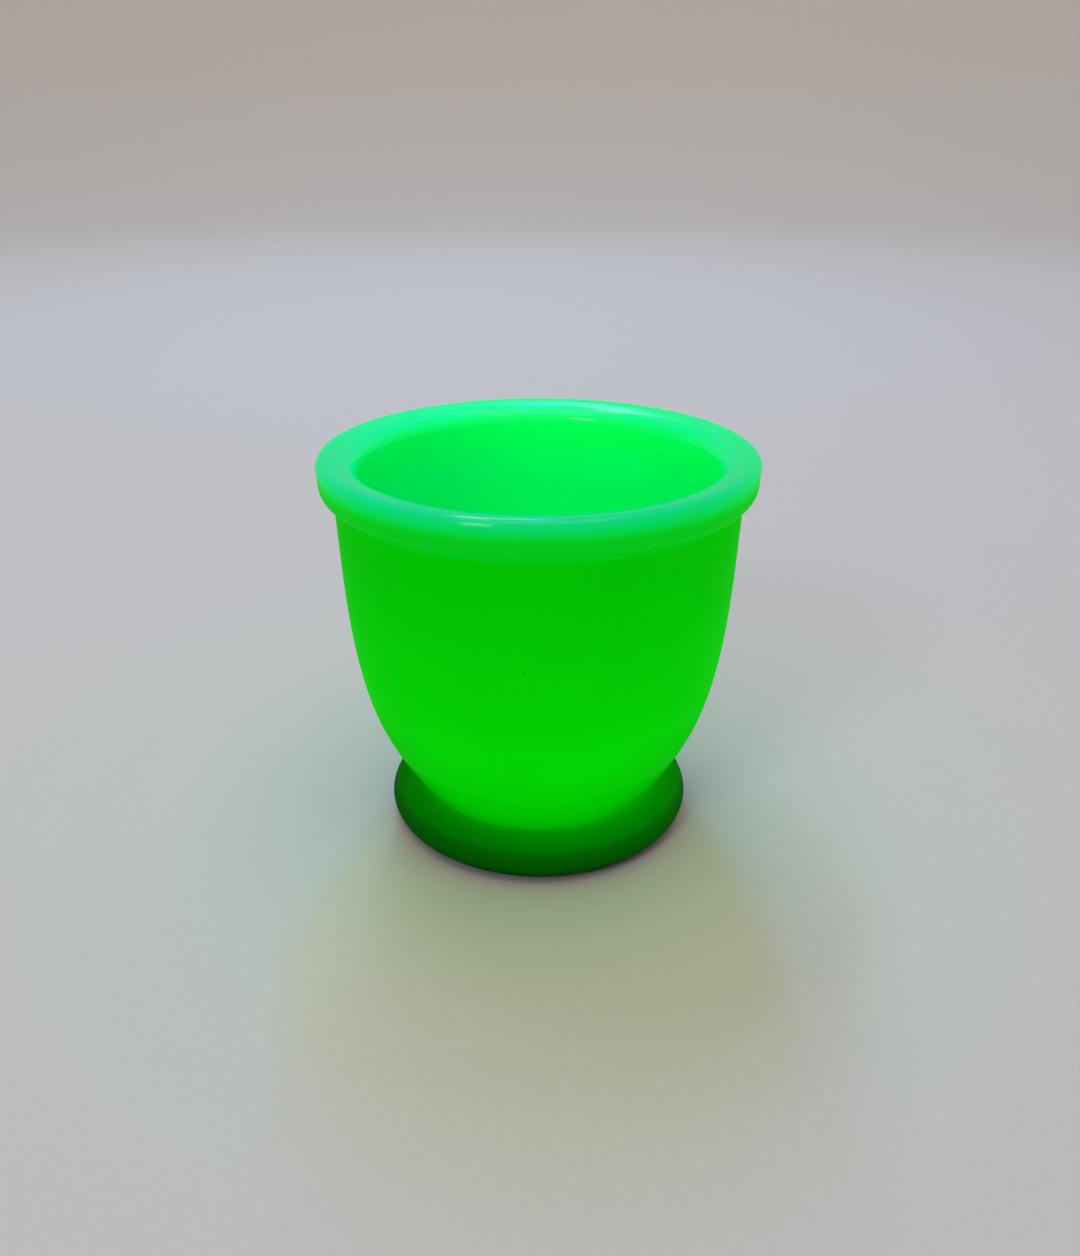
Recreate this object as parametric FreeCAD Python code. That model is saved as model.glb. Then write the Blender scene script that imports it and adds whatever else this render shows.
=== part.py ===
"""A small footed cup in translucent uranium glass, modelled in millimetres.

Three gathers of hot glass are fused face to face: a deep bowl, a rolled ring that forms the rim, and
a thick disc foot whose glass wets a little way up the bowl.  Every gather is turned about +Z, and the
origin is the centre of the plane that the foot rests on.
"""

import FreeCAD, Part
import math
import os

# Driving dimensions.
HEIGHT = 60.0
RIM_RADIUS = 32.0
RIM_DEPTH = 6.2
MOUTH_RADIUS = 26.1
NECK_RADIUS = 29.8
FOOT_RADIUS = 24.0
FOOT_EDGE_HEIGHT = 5.55
FLOOR_Z = 8.6

# Rolled rim: a flat seat on the bowl's wall, a full outer roll, and a top that slopes in to a round lip.
SEAT_Z = HEIGHT - RIM_DEPTH
SEAT_INNER_RADIUS = MOUTH_RADIUS - 0.15
ROLL_INSET = 0.42
ROLL_BELLY_Z = SEAT_Z + 1.65
ROLL_SHOULDER_Z = HEIGHT - 1.1
CREST_RADIUS = RIM_RADIUS - 0.95
BROW_RADIUS = MOUTH_RADIUS + 2.3
BROW_Z = HEIGHT - 0.5
LIP_Z = HEIGHT - 3.0

# Bowl: the flat it was cracked off at, and the seam where its wall leaves the foot's glass.
BASE_FLAT_RADIUS = 13.5
BASE_FLAT_Z = 3.8
SEAM_RADIUS = 19.25
SEAM_Z = 6.85

# Foot: a resting ring round a shallow hollow, a rounded edge, and a gently coned top.
REST_OUTER_RADIUS = FOOT_RADIUS - 3.5
REST_INNER_RADIUS = 17.4
HOLLOW_DEPTH = 0.9
FOOT_BULGE_Z = 3.2
FOOT_CREASE_RADIUS = FOOT_RADIUS - 0.9
FILLET_START_RADIUS = SEAM_RADIUS + 0.85
FILLET_START_Z = SEAM_Z - 0.7

# Directions in a profile, in degrees: 0 is away from the axis and 90 is up.
UP = 90
INWARD = 180
DOWN = 270
UNDERSIDE_START = 7
UNDERSIDE_END = 50
WALL_AT_SEAM = 84
WALL_AT_NECK = 88
WALL_AT_MOUTH = 268
ROLL_START = 37
TOP_SLOPE = 193
HOLLOW_START = 173
FOOT_CONE = 169

AXIS_POINT = FreeCAD.Vector(0, 0, 0)
AXIS = FreeCAD.Vector(0, 0, 1)
FULL_TURN = 360


def at(radius, height):
    """A point of a turned profile, in the XZ plane."""
    return FreeCAD.Vector(radius, 0, height)


def towards(degrees):
    """The unit vector of a direction in the profile."""
    angle = math.radians(degrees)
    return at(math.cos(angle), math.sin(angle))


def line(start, end):
    return Part.LineSegment(at(*start), at(*end)).toShape()


def arc(start, middle, end):
    return Part.Arc(at(*start), at(*middle), at(*end)).toShape()


def curve(points, leaving, arriving):
    """One smooth curve through points, with the given directions at its two ends."""
    spline = Part.BSplineCurve()
    spline.interpolate(
        Points=[at(*point) for point in points],
        InitialTangent=towards(leaving),
        FinalTangent=towards(arriving),
    )
    return spline.toShape()


def turned(edges):
    """The solid that a closed profile sweeps in one turn about +Z."""
    profile = Part.Face(Part.Wire(Part.__sortEdges__(edges)))
    return profile.revolve(AXIS_POINT, AXIS, FULL_TURN)


def bowl_underside():
    """The part of the bowl that is buried in the foot, from the axis out to the seam."""
    flat_edge = (BASE_FLAT_RADIUS, BASE_FLAT_Z)
    turn = (16.9, 4.85)
    seam = (SEAM_RADIUS, SEAM_Z)
    return [
        line((0, BASE_FLAT_Z), flat_edge),
        curve([flat_edge, turn, seam], UNDERSIDE_START, UNDERSIDE_END),
    ]


def bowl():
    """The cup's wall and floor, up to the seat that carries the rim."""
    neck = (NECK_RADIUS, SEAT_Z)
    mouth = (SEAT_INNER_RADIUS, SEAT_Z)
    outside = [
        (SEAM_RADIUS, SEAM_Z),
        (20.0, 8.4),
        (22.33, 12.0),
        (25.32, 18.0),
        (27.58, 26.0),
        (28.93, 36.0),
        (29.5, 46.0),
        neck,
    ]
    inside = [
        mouth,
        (25.55, 44.0),
        (24.8, 34.5),
        (23.2, 25.5),
        (20.2, 17.5),
        (15.4, 12.0),
        (9.0, 9.4),
        (0, FLOOR_Z),
    ]
    return turned(
        bowl_underside()
        + [
            curve(outside, WALL_AT_SEAM, WALL_AT_NECK),
            line(neck, mouth),
            curve(inside, WALL_AT_MOUTH, INWARD),
            line((0, FLOOR_Z), (0, BASE_FLAT_Z)),
        ]
    )


def rolled_rim():
    """The ring of glass laid on the wall's seat, with an undercut below its outer roll."""
    neck = (NECK_RADIUS, SEAT_Z)
    belly = (RIM_RADIUS - ROLL_INSET, ROLL_BELLY_Z)
    shoulder = (RIM_RADIUS, ROLL_SHOULDER_Z)
    edge = (RIM_RADIUS - 0.32, HEIGHT - 0.38)
    crest = (CREST_RADIUS, HEIGHT)
    brow = (BROW_RADIUS, BROW_Z)
    lip_top = (MOUTH_RADIUS + 1.65, HEIGHT - 0.73)
    lip_turn = (MOUTH_RADIUS + 0.55, HEIGHT - 1.6)
    lip = (MOUTH_RADIUS, LIP_Z)
    seat_inner = (SEAT_INNER_RADIUS, SEAT_Z)
    return turned(
        [
            curve([neck, belly, shoulder], ROLL_START, UP),
            curve([shoulder, edge, crest], UP, INWARD),
            curve([crest, brow], INWARD, TOP_SLOPE),
            curve([brow, lip_top, lip_turn, lip], TOP_SLOPE, DOWN),
            line(lip, seat_inner),
            line(seat_inner, neck),
        ]
    )


def foot():
    """The disc foot: it stands on a narrow ring, and its top fillets up onto the bowl."""
    rest_inner = (REST_INNER_RADIUS, 0)
    rest_outer = (REST_OUTER_RADIUS, 0)
    toe = (FOOT_RADIUS - 1.3, 1.0)
    bulge = (FOOT_RADIUS, FOOT_BULGE_Z)
    shoulder = (FOOT_RADIUS - 0.25, FOOT_BULGE_Z + 1.25)
    crease = (FOOT_CREASE_RADIUS, FOOT_EDGE_HEIGHT)
    fillet_start = (FILLET_START_RADIUS, FILLET_START_Z)
    seam = (SEAM_RADIUS, SEAM_Z)
    return turned(
        bowl_underside()
        + [
            curve([fillet_start, seam], FOOT_CONE, WALL_AT_SEAM),
            line(crease, fillet_start),
            arc(bulge, shoulder, crease),
            arc(rest_outer, toe, bulge),
            line(rest_outer, rest_inner),
            curve([rest_inner, (0, HOLLOW_DEPTH)], HOLLOW_START, INWARD),
            line((0, HOLLOW_DEPTH), (0, BASE_FLAT_Z)),
        ]
    )


def main():
    os.makedirs("parts", exist_ok=True)
    pieces = {"bowl": bowl(), "rolled_rim": rolled_rim(), "foot": foot()}
    for name, shape in pieces.items():
        shape.exportStep(f"parts/{name}.step")
        box = shape.optimalBoundingBox(False, False)
        print(
            f"{name}: {shape.ShapeType}, valid {shape.isValid()}, {shape.Volume / 1000:.2f} cm3,",
            f"radius {box.XMax:.2f}, z {box.ZMin:.2f} to {box.ZMax:.2f} mm",
        )


main()
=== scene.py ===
"""The looks of a small footed cup in uranium glass that glows green, on a plain pale studio floor.

Three turned glass meshes stand for the bowl, the rolled rim and the foot.  Their glow is painted on
the object by height, radius and side, so it does not follow the camera.  Lengths are in metres and
+Z is up.
"""

import math

import bpy
import numpy as np
from mathutils import Matrix, Vector


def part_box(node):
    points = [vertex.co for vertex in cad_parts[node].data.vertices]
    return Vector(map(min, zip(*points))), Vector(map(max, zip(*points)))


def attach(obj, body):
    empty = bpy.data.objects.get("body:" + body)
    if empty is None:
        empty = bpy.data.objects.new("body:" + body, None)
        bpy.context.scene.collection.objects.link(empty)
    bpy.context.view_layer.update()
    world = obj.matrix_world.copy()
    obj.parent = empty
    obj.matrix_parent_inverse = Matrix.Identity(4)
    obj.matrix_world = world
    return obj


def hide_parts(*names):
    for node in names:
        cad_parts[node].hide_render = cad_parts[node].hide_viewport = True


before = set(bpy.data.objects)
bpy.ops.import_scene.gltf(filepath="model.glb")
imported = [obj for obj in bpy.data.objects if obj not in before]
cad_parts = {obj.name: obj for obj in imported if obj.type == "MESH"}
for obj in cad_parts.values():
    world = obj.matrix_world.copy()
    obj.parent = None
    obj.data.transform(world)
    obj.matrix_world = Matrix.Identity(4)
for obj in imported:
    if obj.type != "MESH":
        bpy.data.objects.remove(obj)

MM = 0.001
TURN = 2 * math.pi

# Places from the frame.
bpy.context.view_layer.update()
rim_low, rim_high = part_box("rolled_rim")
foot_low, foot_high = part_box("foot")
bowl_low, bowl_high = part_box("bowl")
HEIGHT = rim_high.z
SEAT_Z = rim_low.z
RIM_RADIUS = (rim_high.y - rim_low.y) / 2
FOOT_RADIUS = (foot_high.y - foot_low.y) / 2
NECK_RADIUS = (bowl_high.y - bowl_low.y) / 2
SEAM_Z = foot_high.z
BASE_FLAT_Z = bowl_low.z

# Directions in a profile, in degrees: 0 is away from the axis and 90 is up.
UP = 90
INWARD = 180
DOWN = 270
UNDERSIDE_START = 7
UNDERSIDE_END = 50
WALL_AT_SEAM = 84
WALL_AT_NECK = 88
WALL_AT_MOUTH = 268
ROLL_START = 37
TOP_SLOPE = 193
HOLLOW_END = -7
TOE_START = 3
CREASE_END = 117
FOOT_CONE = 169

SEGMENTS = 288
SHARP_ANGLE = math.radians(28)


# ---------------------------------------------------------------- turned meshes


def towards(degrees):
    angle = math.radians(degrees)
    return np.array([math.cos(angle), math.sin(angle)])


def curve(points, leaving, arriving, step):
    """Points along one smooth curve through (radius, height) points, without its last point.

    It is the cubic spline whose direction at its two ends is given, in degrees.
    """
    knots = np.array(points, float)
    steps = np.diff(knots, axis=0)
    chords = np.linalg.norm(steps, axis=1)
    slopes = steps / chords[:, None]
    count = len(knots)
    matrix = np.eye(count)
    wanted = np.zeros((count, 2))
    wanted[0] = towards(leaving)
    wanted[-1] = towards(arriving)
    for i in range(1, count - 1):
        before, after = 1 / chords[i - 1], 1 / chords[i]
        matrix[i, i - 1 : i + 2] = before, 2 * (before + after), after
        wanted[i] = 3 * (slopes[i - 1] * before + slopes[i] * after)
    tangents = np.linalg.solve(matrix, wanted)
    made = []
    for i in range(count - 1):
        pieces = max(1, round(chords[i] / step))
        t = (np.arange(pieces) / pieces)[:, None]
        made.append(
            knots[i] * (2 * t**3 - 3 * t**2 + 1)
            + knots[i + 1] * (3 * t**2 - 2 * t**3)
            + chords[i] * tangents[i] * (t**3 - 2 * t**2 + t)
            + chords[i] * tangents[i + 1] * (t**3 - t**2)
        )
    return np.concatenate(made)


def line(start, end, step):
    """Points along a straight run, without its last point."""
    start, end = np.array(start, float), np.array(end, float)
    pieces = max(1, round(np.linalg.norm(end - start) / step))
    t = (np.arange(pieces) / pieces)[:, None]
    return start + (end - start) * t


def turned(name, profile, closed):
    """A mesh object swept once about +Z from profile.

    The profile runs counter-clockwise in the (radius, height) plane.  A closed one never meets the
    axis; an open one starts and ends on it.
    """
    angles = np.arange(SEGMENTS) * TURN / SEGMENTS
    rings = profile if closed else profile[1:-1]
    around = np.stack([np.cos(angles), np.sin(angles)], axis=-1)
    vertices = np.empty((len(rings), SEGMENTS, 3))
    vertices[:, :, :2] = rings[:, None, :1] * around[None]
    vertices[:, :, 2] = rings[:, None, 1]
    count = len(rings)
    here = np.arange(SEGMENTS)
    beside = (here + 1) % SEGMENTS
    faces = []
    for i in range(count if closed else count - 1):
        low = i * SEGMENTS
        high = (i + 1) % count * SEGMENTS
        faces += np.stack([low + here, low + beside, high + beside, high + here], axis=-1).tolist()
    points = vertices.reshape(-1, 3).tolist()
    if not closed:
        first, last = len(points), len(points) + 1
        points += [(0, 0, profile[0, 1]), (0, 0, profile[-1, 1])]
        top = (count - 1) * SEGMENTS
        faces += np.stack([np.full(SEGMENTS, first), beside, here], axis=-1).tolist()
        faces += np.stack([top + here, top + beside, np.full(SEGMENTS, last)], axis=-1).tolist()
    mesh = bpy.data.meshes.new(name)
    mesh.from_pydata(points, [], faces)
    mesh.validate()
    mesh.shade_smooth()
    mesh.set_sharp_from_angle(angle=SHARP_ANGLE)
    piece = bpy.data.objects.new(name, mesh)
    bpy.context.scene.collection.objects.link(piece)
    return piece


SEAM_RADIUS = 19.25 * MM
BASE_FLAT_RADIUS = 13.5 * MM
MOUTH_RADIUS = 26.1 * MM
SEAT_INNER_RADIUS = MOUTH_RADIUS - 0.15 * MM
FLOOR_Z = 8.6 * MM

# Dark specks in the bowl's glass: the place and the size of each.
SPECKS = [
    ((-1.85 * MM, -28.95 * MM, 38.3 * MM), 0.42 * MM),
    ((-17.9 * MM, -19.8 * MM, 22.3 * MM), 0.3 * MM),
]


def mm(*points):
    return [(radius * MM, height * MM) for radius, height in points]


def bowl_underside(step):
    """The buried part of the bowl, from the axis out to the seam."""
    flat_edge = (BASE_FLAT_RADIUS, BASE_FLAT_Z)
    seam = (SEAM_RADIUS, SEAM_Z)
    return [
        line((0, BASE_FLAT_Z), flat_edge, step),
        curve([flat_edge, *mm((16.9, 4.85)), seam], UNDERSIDE_START, UNDERSIDE_END, step),
    ]


def bowl_profile():
    step = 0.5 * MM
    neck = (NECK_RADIUS, SEAT_Z)
    mouth = (SEAT_INNER_RADIUS, SEAT_Z)
    floor = (0, FLOOR_Z)
    outside = mm((20.0, 8.4), (22.33, 12), (25.32, 18), (27.58, 26), (28.93, 36), (29.5, 46))
    inside = mm((25.55, 44), (24.8, 34.5), (23.2, 25.5), (20.2, 17.5), (15.4, 12), (9, 9.4))
    return np.concatenate(
        bowl_underside(step)
        + [
            curve([(SEAM_RADIUS, SEAM_Z), *outside, neck], WALL_AT_SEAM, WALL_AT_NECK, step),
            line(neck, mouth, step),
            curve([mouth, *inside, floor], WALL_AT_MOUTH, INWARD, step),
            [floor],
        ]
    )


def rim_profile():
    """The rolled ring, with a fine moulding ridge round its outer edge and a softly rounded lip."""
    step = 0.14 * MM
    neck = (NECK_RADIUS, SEAT_Z)
    belly = (RIM_RADIUS - 0.44 * MM, SEAT_Z + 1.65 * MM)
    below_ridge = (RIM_RADIUS - 0.06 * MM, HEIGHT - 1.6 * MM)
    ridge = (RIM_RADIUS, HEIGHT - 1.15 * MM)
    above_ridge = (RIM_RADIUS - 0.11 * MM, HEIGHT - 0.8 * MM)
    edge = (RIM_RADIUS - 0.38 * MM, HEIGHT - 0.37 * MM)
    crest = (RIM_RADIUS - 1.3 * MM, HEIGHT)
    slope_top = (RIM_RADIUS - 2.05 * MM, HEIGHT - 0.085 * MM)
    brow = (MOUTH_RADIUS + 2.3 * MM, HEIGHT - 0.43 * MM)
    lip_top = (MOUTH_RADIUS + 1.65 * MM, HEIGHT - 0.66 * MM)
    lip_turn = (MOUTH_RADIUS + 0.55 * MM, HEIGHT - 1.6 * MM)
    lip = (MOUTH_RADIUS, HEIGHT - 3.0 * MM)
    seat_inner = (SEAT_INNER_RADIUS, SEAT_Z)
    return np.concatenate(
        [
            curve([neck, belly, below_ridge, ridge], ROLL_START, UP, step),
            curve([ridge, above_ridge, edge, crest], UP, INWARD, step / 2),
            curve([crest, slope_top, brow], INWARD, TOP_SLOPE, step),
            curve([brow, lip_top, lip_turn, lip], TOP_SLOPE, DOWN, step),
            line(lip, seat_inner, 2 * step),
            line(seat_inner, neck, 4 * step),
        ]
    )


def foot_profile():
    step = 0.3 * MM
    rest_inner = (17.4 * MM, 0)
    rest_outer = (FOOT_RADIUS - 3.5 * MM, 0)
    bulge = (FOOT_RADIUS, 3.2 * MM)
    crease = (FOOT_RADIUS - 0.9 * MM, 5.55 * MM)
    fillet_start = (SEAM_RADIUS + 0.85 * MM, SEAM_Z - 0.7 * MM)
    seam = (SEAM_RADIUS, SEAM_Z)
    underside = np.concatenate(bowl_underside(step))
    return np.concatenate(
        [
            curve([(0, 0.9 * MM), rest_inner], 0, HOLLOW_END, step),
            line(rest_inner, rest_outer, step),
            curve([rest_outer, bulge], TOE_START, UP, step / 2),
            curve([bulge, crease], UP, CREASE_END, step / 2),
            line(crease, fillet_start, step),
            curve([fillet_start, seam], FOOT_CONE, WALL_AT_SEAM, step / 2),
            [seam],
            underside[::-1],
        ]
    )


# ---------------------------------------------------------------- glass


class Graph:
    """Short ways to add nodes to one material."""

    def __init__(self, name):
        self.material = bpy.data.materials.new(name)
        self.material.use_nodes = True
        self.tree = self.material.node_tree
        self.shader = self.tree.nodes["Principled BSDF"]

    def node(self, kind, inputs=(), **settings):
        made = self.tree.nodes.new(kind)
        for key, value in settings.items():
            setattr(made, key, value)
        for socket, value in dict(inputs).items():
            if isinstance(value, bpy.types.NodeSocket):
                self.tree.links.new(value, made.inputs[socket])
            else:
                made.inputs[socket].default_value = value
        return made

    def link(self, source, socket):
        self.tree.links.new(source, self.shader.inputs[socket])

    def math(self, operation, *values):
        return self.node("ShaderNodeMath", dict(enumerate(values)), operation=operation).outputs[0]

    def spread(self, value, low, high, to_low, to_high, smooth=False):
        """value's range low to high, mapped to another and held at its ends."""
        inputs = {"Value": value, "From Min": low, "From Max": high}
        inputs.update({"To Min": to_low, "To Max": to_high})
        kind = "SMOOTHSTEP" if smooth else "LINEAR"
        return self.node("ShaderNodeMapRange", inputs, interpolation_type=kind).outputs[0]

    def ramp(self, value, stops):
        """A colour ramp, straight between stops of (place from 0 to 1, (red, green, blue))."""
        made = self.node("ShaderNodeValToRGB", {"Fac": value})
        ramp = made.color_ramp
        ramp.interpolation = "LINEAR"
        while len(ramp.elements) > 1:
            ramp.elements.remove(ramp.elements[-1])
        ramp.elements[0].position = stops[0][0]
        ramp.elements[0].color = (*stops[0][1], 1)
        for place, colour in stops[1:]:
            ramp.elements.new(place).color = (*colour, 1)
        return made.outputs["Color"]

    def mix(self, factor, first, second, blend="MIX"):
        made = self.node("ShaderNodeMix", data_type="RGBA", blend_type=blend)
        for index, value in ((0, factor), (6, first), (7, second)):
            if isinstance(value, bpy.types.NodeSocket):
                self.tree.links.new(value, made.inputs[index])
            else:
                made.inputs[index].default_value = value if index == 0 else (*value, 1)
        return made.outputs[2]

    def grey(self, value):
        """The same number in all three channels."""
        return self.node("ShaderNodeCombineColor", {0: value, 1: value, 2: value}).outputs[0]

    def noise(self, place, size, detail=2.0, rough=0.5):
        """Noise whose features are about size across."""
        inputs = {"Vector": place, "Scale": 1 / size, "Detail": detail, "Roughness": rough}
        return self.node("ShaderNodeTexNoise", inputs).outputs[0]


def coordinates(graph):
    """The object's own coordinates: the place, its three parts, and its distance from the axis."""
    place = graph.node("ShaderNodeTexCoord").outputs["Object"]
    axes = graph.node("ShaderNodeSeparateXYZ", {0: place}).outputs
    x_squared = graph.math("MULTIPLY", axes[0], axes[0])
    y_squared = graph.math("MULTIPLY", axes[1], axes[1])
    return place, axes, graph.math("SQRT", graph.math("ADD", x_squared, y_squared))


def glass(name, paint, base, coat):
    """Fire-polished glass. paint(graph, place, axes, radius) gives the glow's colour."""
    graph = Graph(name)
    place, axes, radius = coordinates(graph)
    glow = paint(graph, place, axes, radius)
    cloud = graph.noise(place, 11 * MM, detail=3)
    stretched = graph.node("ShaderNodeMapping", {"Vector": place, "Scale": (1, 1, 0.22)}).outputs[0]
    striae = graph.noise(stretched, 1.6 * MM, detail=4, rough=0.6)
    cloudy = graph.spread(cloud, 0.3, 0.7, 0.98, 1.02)
    streaky = graph.spread(striae, 0.3, 0.7, 0.99, 1.01)
    shade = graph.grey(graph.math("MULTIPLY", cloudy, streaky))
    graph.link(graph.mix(1.0, glow, shade, "MULTIPLY"), "Emission Color")
    graph.shader.inputs["Emission Strength"].default_value = 1.0
    graph.link(graph.mix(1.0, base, shade, "MULTIPLY"), "Base Color")
    smudge = graph.noise(place, 5 * MM, detail=5, rough=0.65)
    graph.link(graph.spread(smudge, 0.35, 0.75, 0.08, 0.2), "Roughness")
    swell = graph.noise(place, 9 * MM, detail=1)
    ripple = graph.noise(stretched, 2.2 * MM, detail=2)
    relief = graph.math("ADD", swell, graph.math("MULTIPLY", ripple, 0.12))
    bump = graph.node("ShaderNodeBump", {"Height": relief, "Strength": 0.3, "Distance": 0.05 * MM})
    graph.link(bump.outputs[0], "Normal")
    graph.link(bump.outputs[0], "Coat Normal")
    graph.shader.inputs["IOR"].default_value = 1.5
    graph.shader.inputs["Specular IOR Level"].default_value = 0.0
    graph.shader.inputs["Coat Weight"].default_value = coat
    graph.shader.inputs["Coat Roughness"].default_value = 0.13
    graph.shader.inputs["Coat IOR"].default_value = 1.5
    graph.material.cycles.emission_sampling = "NONE"
    return graph.material


def up_the_cup(graph, height, stops):
    """A ramp over the cup's height; stops are (height in mm, green, blue)."""
    share = graph.math("DIVIDE", height, HEIGHT)
    return graph.ramp(share, [(z * MM / HEIGHT, (0.0, green, blue)) for z, green, blue in stops])


def bowl_outside_glow(graph, place, axes, radius):
    """Brightest two fifths of the way up; painted shade makes the lower wall dimmer away from the front,
    -Y.
    """
    glow = up_the_cup(
        graph,
        axes[2],
        [
            (6.5, 0.29, 0.0),
            (7.6, 0.385, 0.0),
            (8.7, 0.43, 0.0),
            (11.5, 0.495, 0.0),
            (15.5, 0.545, 0.0),
            (20.0, 0.60, 0.0),
            (24.5, 0.61, 0.0),
            (31.0, 0.55, 0.0),
            (37.0, 0.53, 0.0),
            (44.0, 0.49, 0.0),
            (50.0, 0.465, 0.0),
            (54.0, 0.475, 0.0),
        ],
    )
    # Painted shade: the lower wall is darkened away from the front.
    forward = graph.math("DIVIDE", graph.math("MULTIPLY", axes[1], -1.0), radius)
    aside = graph.spread(forward, 0.55, 1.0, 1, 0, smooth=True)
    low = graph.spread(axes[2], 17 * MM, 33 * MM, 0.18, 0, smooth=True)
    lowest = graph.spread(axes[2], 8 * MM, 16 * MM, 0.12, 0, smooth=True)
    painted_side_shade = graph.math("MULTIPLY", aside, graph.math("ADD", low, lowest))
    glow = graph.mix(1.0, glow, graph.grey(graph.math("SUBTRACT", 1.0, painted_side_shade)), "MULTIPLY")
    for spot, size in SPECKS:
        distance = graph.node("ShaderNodeVectorMath", {0: place, 1: spot}, operation="DISTANCE")
        apart = distance.outputs["Value"]
        clear = graph.grey(graph.spread(apart, 0.25 * size, size, 0.62, 1.0, smooth=True))
        glow = graph.mix(1.0, glow, clear, "MULTIPLY")
    return glow


def inner_glow(graph, axes):
    """The mouth's side of the glass, up to the top of the rim, with painted blue light near the rim's
    top; inside the cup, painted shade makes it dimmer towards -X.
    """
    glow = up_the_cup(
        graph,
        axes[2],
        [
            (8.0, 0.40, 0.048),
            (30.0, 0.46, 0.052),
            (41.0, 0.50, 0.06),
            (47.0, 0.515, 0.065),
            (50.0, 0.54, 0.072),
            (53.5, 0.575, 0.06),
            (55.0, 0.60, 0.054),
            (57.0, 0.615, 0.07),
            # From here up the blue is painted light on the rim's top.
            (57.6, 0.615, 0.085),
            (58.2, 0.615, 0.145),
            (58.7, 0.605, 0.20),
            (59.2, 0.595, 0.235),
            (60.0, 0.58, 0.225),
        ],
    )
    # Painted shade: inside the cup the wall is darkened towards -X.
    side = graph.spread(axes[0], -20 * MM, 3 * MM, 0.17, 0.0, smooth=True)
    deep = graph.spread(axes[2], 56.5 * MM, 58.5 * MM, 1.0, 0.0, smooth=True)
    painted_minus_x_shade = graph.math("SUBTRACT", 1.0, graph.math("MULTIPLY", side, deep))
    return graph.mix(1.0, glow, graph.grey(painted_minus_x_shade), "MULTIPLY")


def painted_light_behind(graph, glow, axes, weight=1.0):
    """Painted light: the side of the cup towards +Y is lit more than the side towards -Y, and painted
    blue light makes -X a little bluer.
    """
    extra = graph.math("MULTIPLY", graph.spread(axes[1], -27 * MM, 24 * MM, 0.0, 0.5), weight)
    green = graph.math("ADD", 1.0, extra)
    # Painted blue light, stronger towards -X.
    painted_blue_to_minus_x = graph.spread(axes[0], -30 * MM, 30 * MM, 1.15, 0.95)
    blue_extra = graph.math("MULTIPLY", extra, 0.45)
    blue = graph.math("MULTIPLY", graph.math("ADD", 1.0, blue_extra), painted_blue_to_minus_x)
    gain = graph.node("ShaderNodeCombineColor", {0: green, 1: green, 2: blue}).outputs[0]
    return graph.mix(1.0, glow, gain, "MULTIPLY")


def bowl_inside_glow(graph, place, axes, radius):
    return painted_light_behind(graph, inner_glow(graph, axes), axes)


def rim_glow(graph, place, axes, radius):
    """The glow, green below; the mint on the crest of the roll is painted blue light."""
    outer = up_the_cup(
        graph,
        axes[2],
        [
            (54.0, 0.51, 0.0),
            (54.8, 0.49, 0.0),
            (55.8, 0.485, 0.0),
            (56.8, 0.49, 0.0),
            # From here up the blue is painted light on the roll's crest.
            (57.3, 0.53, 0.005),
            (58.1, 0.59, 0.055),
            (58.9, 0.60, 0.11),
            (59.5, 0.60, 0.165),
            (60.0, 0.585, 0.235),
        ],
    )
    inward = graph.spread(radius, 28.4 * MM, 30.6 * MM, 1, 0, smooth=True)
    above = graph.spread(axes[2], 54.5 * MM, 58.5 * MM, 0, 1, smooth=True)
    weight = graph.math("MAXIMUM", inward, above)
    return painted_light_behind(graph, graph.mix(inward, outer, inner_glow(graph, axes)), axes, weight)


def foot_glow(graph, place, axes, radius):
    """Painted shade leaves the foot nearly dark at the edge and brighter up the cone; painted light makes
    it brighter towards +X; with a faint glow in the hollow below.
    """
    glow = up_the_cup(
        graph,
        axes[2],
        [
            (0.0, 0.0, 0.0),
            (1.2, 0.004, 0.0),
            (2.2, 0.03, 0.0),
            (3.0, 0.052, 0.0),
            (3.7, 0.058, 0.0),
            (4.6, 0.073, 0.0),
            (5.3, 0.095, 0.0),
            (5.6, 0.135, 0.0),
            (5.9, 0.165, 0.0),
            (6.2, 0.21, 0.0),
            (6.9, 0.285, 0.0),
        ],
    )
    # Painted light: the foot is lit more towards +X.
    side = graph.grey(graph.spread(axes[0], -FOOT_RADIUS, FOOT_RADIUS, 0.82, 1.18))
    glow = graph.mix(1.0, glow, side, "MULTIPLY")
    inner = graph.spread(radius, 17.5 * MM, 20.5 * MM, 1, 0, smooth=True)
    below = graph.spread(axes[2], 1.0 * MM, 1.5 * MM, 1, 0)
    return graph.mix(graph.math("MULTIPLY", inner, below), glow, (0.0, 0.09, 0.002))


def show(name, node, profile, closed, materials):
    piece = turned(name, profile, closed)
    for material in materials:
        piece.data.materials.append(material)
    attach(piece, "root")
    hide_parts(node)
    return piece


# The glass's colour at the mouth, green with a touch of painted blue light, and the weight of the gloss
# on each part.
MINT = (0.0, 0.14, 0.02)
WALL_COAT = 0.05
MOUTH_COAT = 0.4
RIM_SIDE_COAT = 0.1
FOOT_COAT = 0.06

# Where the cup's floor and the rim's outer side begin.
CUP_FLOOR_ABOVE = BASE_FLAT_Z + 4 * MM
CUP_FLOOR_RADIUS = 12 * MM
RIM_SIDE_BELOW = HEIGHT - 1.1 * MM
RIM_SIDE_RADIUS = 29 * MM


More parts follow.
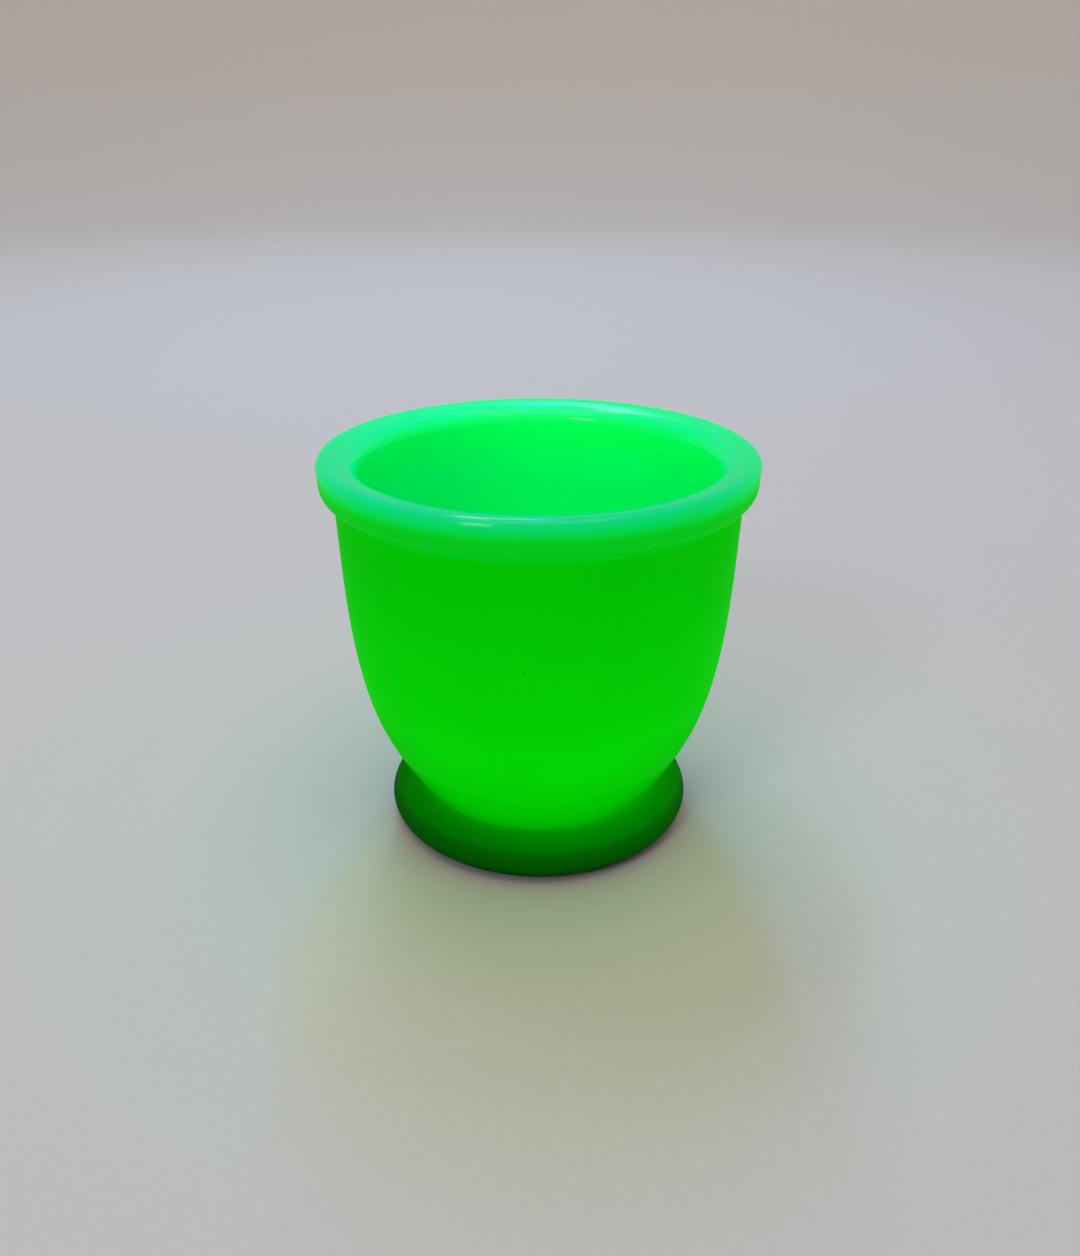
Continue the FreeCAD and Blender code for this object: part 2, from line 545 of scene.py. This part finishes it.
def make_cup():
    outside = glass("bowl_glass_outside", bowl_outside_glow, (0.0, 0.12, 0.0), WALL_COAT)
    inside = glass("bowl_glass_inside", bowl_inside_glow, MINT, MOUTH_COAT)
    bowl = show("bowl_glass", "bowl", bowl_profile(), False, [outside, inside])
    for face in bowl.data.polygons:
        normal, centre = face.normal, face.center
        inward = normal.x * centre.x + normal.y * centre.y < 0
        floor = centre.z > CUP_FLOOR_ABOVE and math.hypot(centre.x, centre.y) < CUP_FLOOR_RADIUS
        if inward or floor:
            face.material_index = 1
    top = glass("rim_glass_top", rim_glow, MINT, MOUTH_COAT)
    side = glass("rim_glass_side", rim_glow, MINT, RIM_SIDE_COAT)
    rim = show("rim_ring", "rolled_rim", rim_profile(), True, [top, side])
    for face in rim.data.polygons:
        centre = face.center
        if centre.z < RIM_SIDE_BELOW and math.hypot(centre.x, centre.y) > RIM_SIDE_RADIUS:
            face.material_index = 1
    # The foot's base colour, darker than the bowl's, is painted shade: it is the same glass.
    foot = glass("foot_glass", foot_glow, (0.0, 0.05, 0.0), FOOT_COAT)
    show("foot_disc", "foot", foot_profile(), False, [foot])


# ---------------------------------------------------------------- studio


def make_stage():
    """A pale floor disc that curves up into a round backdrop; seen from outside it is clear."""
    steps = 128
    reach, cove, top = 1.1, 0.9, 1.6
    profile = np.concatenate(
        [
            line((0, 0), (reach, 0), 0.02),
            curve([(reach, 0), (reach + cove, cove)], 0, UP, 0.03),
            line((reach + cove, cove), (reach + cove, top), 0.1),
            [(reach + cove, top)],
        ]
    )
    angles = np.arange(steps) * TURN / steps
    points = [(0, 0, 0)]
    for radius, height in profile[1:]:
        points += [(radius * math.cos(a), radius * math.sin(a), height) for a in angles]
    faces = [(0, 1 + j, 1 + (j + 1) % steps) for j in range(steps)]
    for i in range(len(profile) - 2):
        low, high = 1 + i * steps, 1 + (i + 1) * steps
        for j in range(steps):
            k = (j + 1) % steps
            faces.append((low + j, high + j, high + k, low + k))
    mesh = bpy.data.meshes.new("stage")
    mesh.from_pydata(points, [], faces)
    mesh.shade_smooth()
    floor = bpy.data.objects.new("stage", mesh)
    bpy.context.scene.collection.objects.link(floor)
    graph = Graph("stage_paper")
    place = graph.node("ShaderNodeTexCoord").outputs["Object"]
    grain = graph.noise(place, 1.2 * MM, detail=4)
    tone = graph.spread(grain, 0.3, 0.7, 0.70, 0.72)
    graph.link(graph.mix(1.0, graph.grey(tone), (1.0, 0.925, 0.88), "MULTIPLY"), "Base Color")
    graph.shader.inputs["Roughness"].default_value = 0.7
    graph.shader.inputs["Specular IOR Level"].default_value = 0.2
    outside = graph.node("ShaderNodeNewGeometry").outputs["Backfacing"]
    clear = graph.node("ShaderNodeBsdfTransparent").outputs[0]
    surface = graph.node("ShaderNodeMixShader", {0: outside, 1: graph.shader.outputs[0], 2: clear})
    graph.tree.links.new(surface.outputs[0], graph.tree.nodes["Material Output"].inputs["Surface"])
    mesh.materials.append(graph.material)


CUP_MIDDLE = Vector((0, 0, 0.7 * HEIGHT))


def lamp(name, place, size, radiance, colour=(1, 1, 1), target=CUP_MIDDLE):
    """An area lamp facing a target, with a given brightness seen from the front."""
    data = bpy.data.lights.new(name, "AREA")
    data.shape = "RECTANGLE"
    data.size, data.size_y = size
    data.energy = radiance * math.pi * size[0] * size[1]
    data.color = colour
    made = bpy.data.objects.new(name, data)
    made.location = place
    aim = Vector(target) - Vector(place)
    made.rotation_mode = "QUATERNION"
    made.rotation_quaternion = aim.to_track_quat("-Z", "Y")
    bpy.context.scene.collection.objects.link(made)
    return made


def strip_lamp(name, start, end, width, radiance, colour):
    """A narrow lamp whose long side runs from start to end, facing the cup's middle."""
    start, end = Vector(start), Vector(end)
    middle = (start + end) / 2
    made = lamp(name, middle, (width, (end - start).length), radiance, colour)
    away = middle - CUP_MIDDLE
    along = end - start
    across = along.cross(away).normalized()
    facing = across.cross(along).normalized()
    turn = Matrix((across, along.normalized(), facing)).transposed()
    made.rotation_quaternion = turn.to_quaternion()


def make_light():
    world = bpy.data.worlds.new("studio_air")
    bpy.context.scene.world = world
    world.use_nodes = True
    background = world.node_tree.nodes["Background"]
    background.inputs["Color"].default_value = (1.0, 0.95, 0.87, 1)
    background.inputs["Strength"].default_value = 0.33
    lamp("overhead_softbox", (0.0, -0.15, 1.15), (1.0, 1.0), 1.25, (1.0, 0.87, 0.66))
    lamp("front_softbox", (-0.55, -0.85, 0.75), (0.28, 0.28), 8.0, (0.7, 0.9, 1.0))
    lamp("backdrop_softbox", (0.0, 0.75, 1.45), (1.8, 0.6), 1.6, target=(0.0, 2.0, 0.5))
    for name, start, end, width, radiance, colour in (
        ("back_strip", (-0.03, 0.9316, 0.753), (-0.03, 0.84, 0.858), 0.026, 44.0, (0.25, 0.55, 1.0)),
        ("back_softbox", (-0.08, 0.84, 0.86), (-0.30, 0.28, 1.12), 0.12, 11.0, (0.5, 0.8, 1.0)),
        ("front_strip", (0.004, 0.733, 0.873), (0.004, 0.482, 1.033), 0.06, 32.0, (0.0, 0.25, 1.0)),
    ):
        strip_lamp(name, start, end, width, radiance, colour)


# The camera's viewing angle and distance, from the fit to the cup's outline.
SENSOR_WIDTH = 36.0
LENS = 31.2
CAMERA_PLACE = (0.0002, -0.1539, 0.1032)
CAMERA_DOWN = 25.08


def make_camera():
    data = bpy.data.cameras.new("camera")
    data.sensor_width = SENSOR_WIDTH
    data.lens = LENS
    data.clip_start, data.clip_end = 0.005, 20
    camera = bpy.data.objects.new("camera", data)
    camera.location = CAMERA_PLACE
    camera.rotation_euler = (math.radians(90 - CAMERA_DOWN), 0, 0)
    bpy.context.scene.collection.objects.link(camera)
    bpy.context.scene.camera = camera


make_camera()
make_cup()
make_stage()
make_light()
bpy.context.scene.view_settings.view_transform = "Standard"
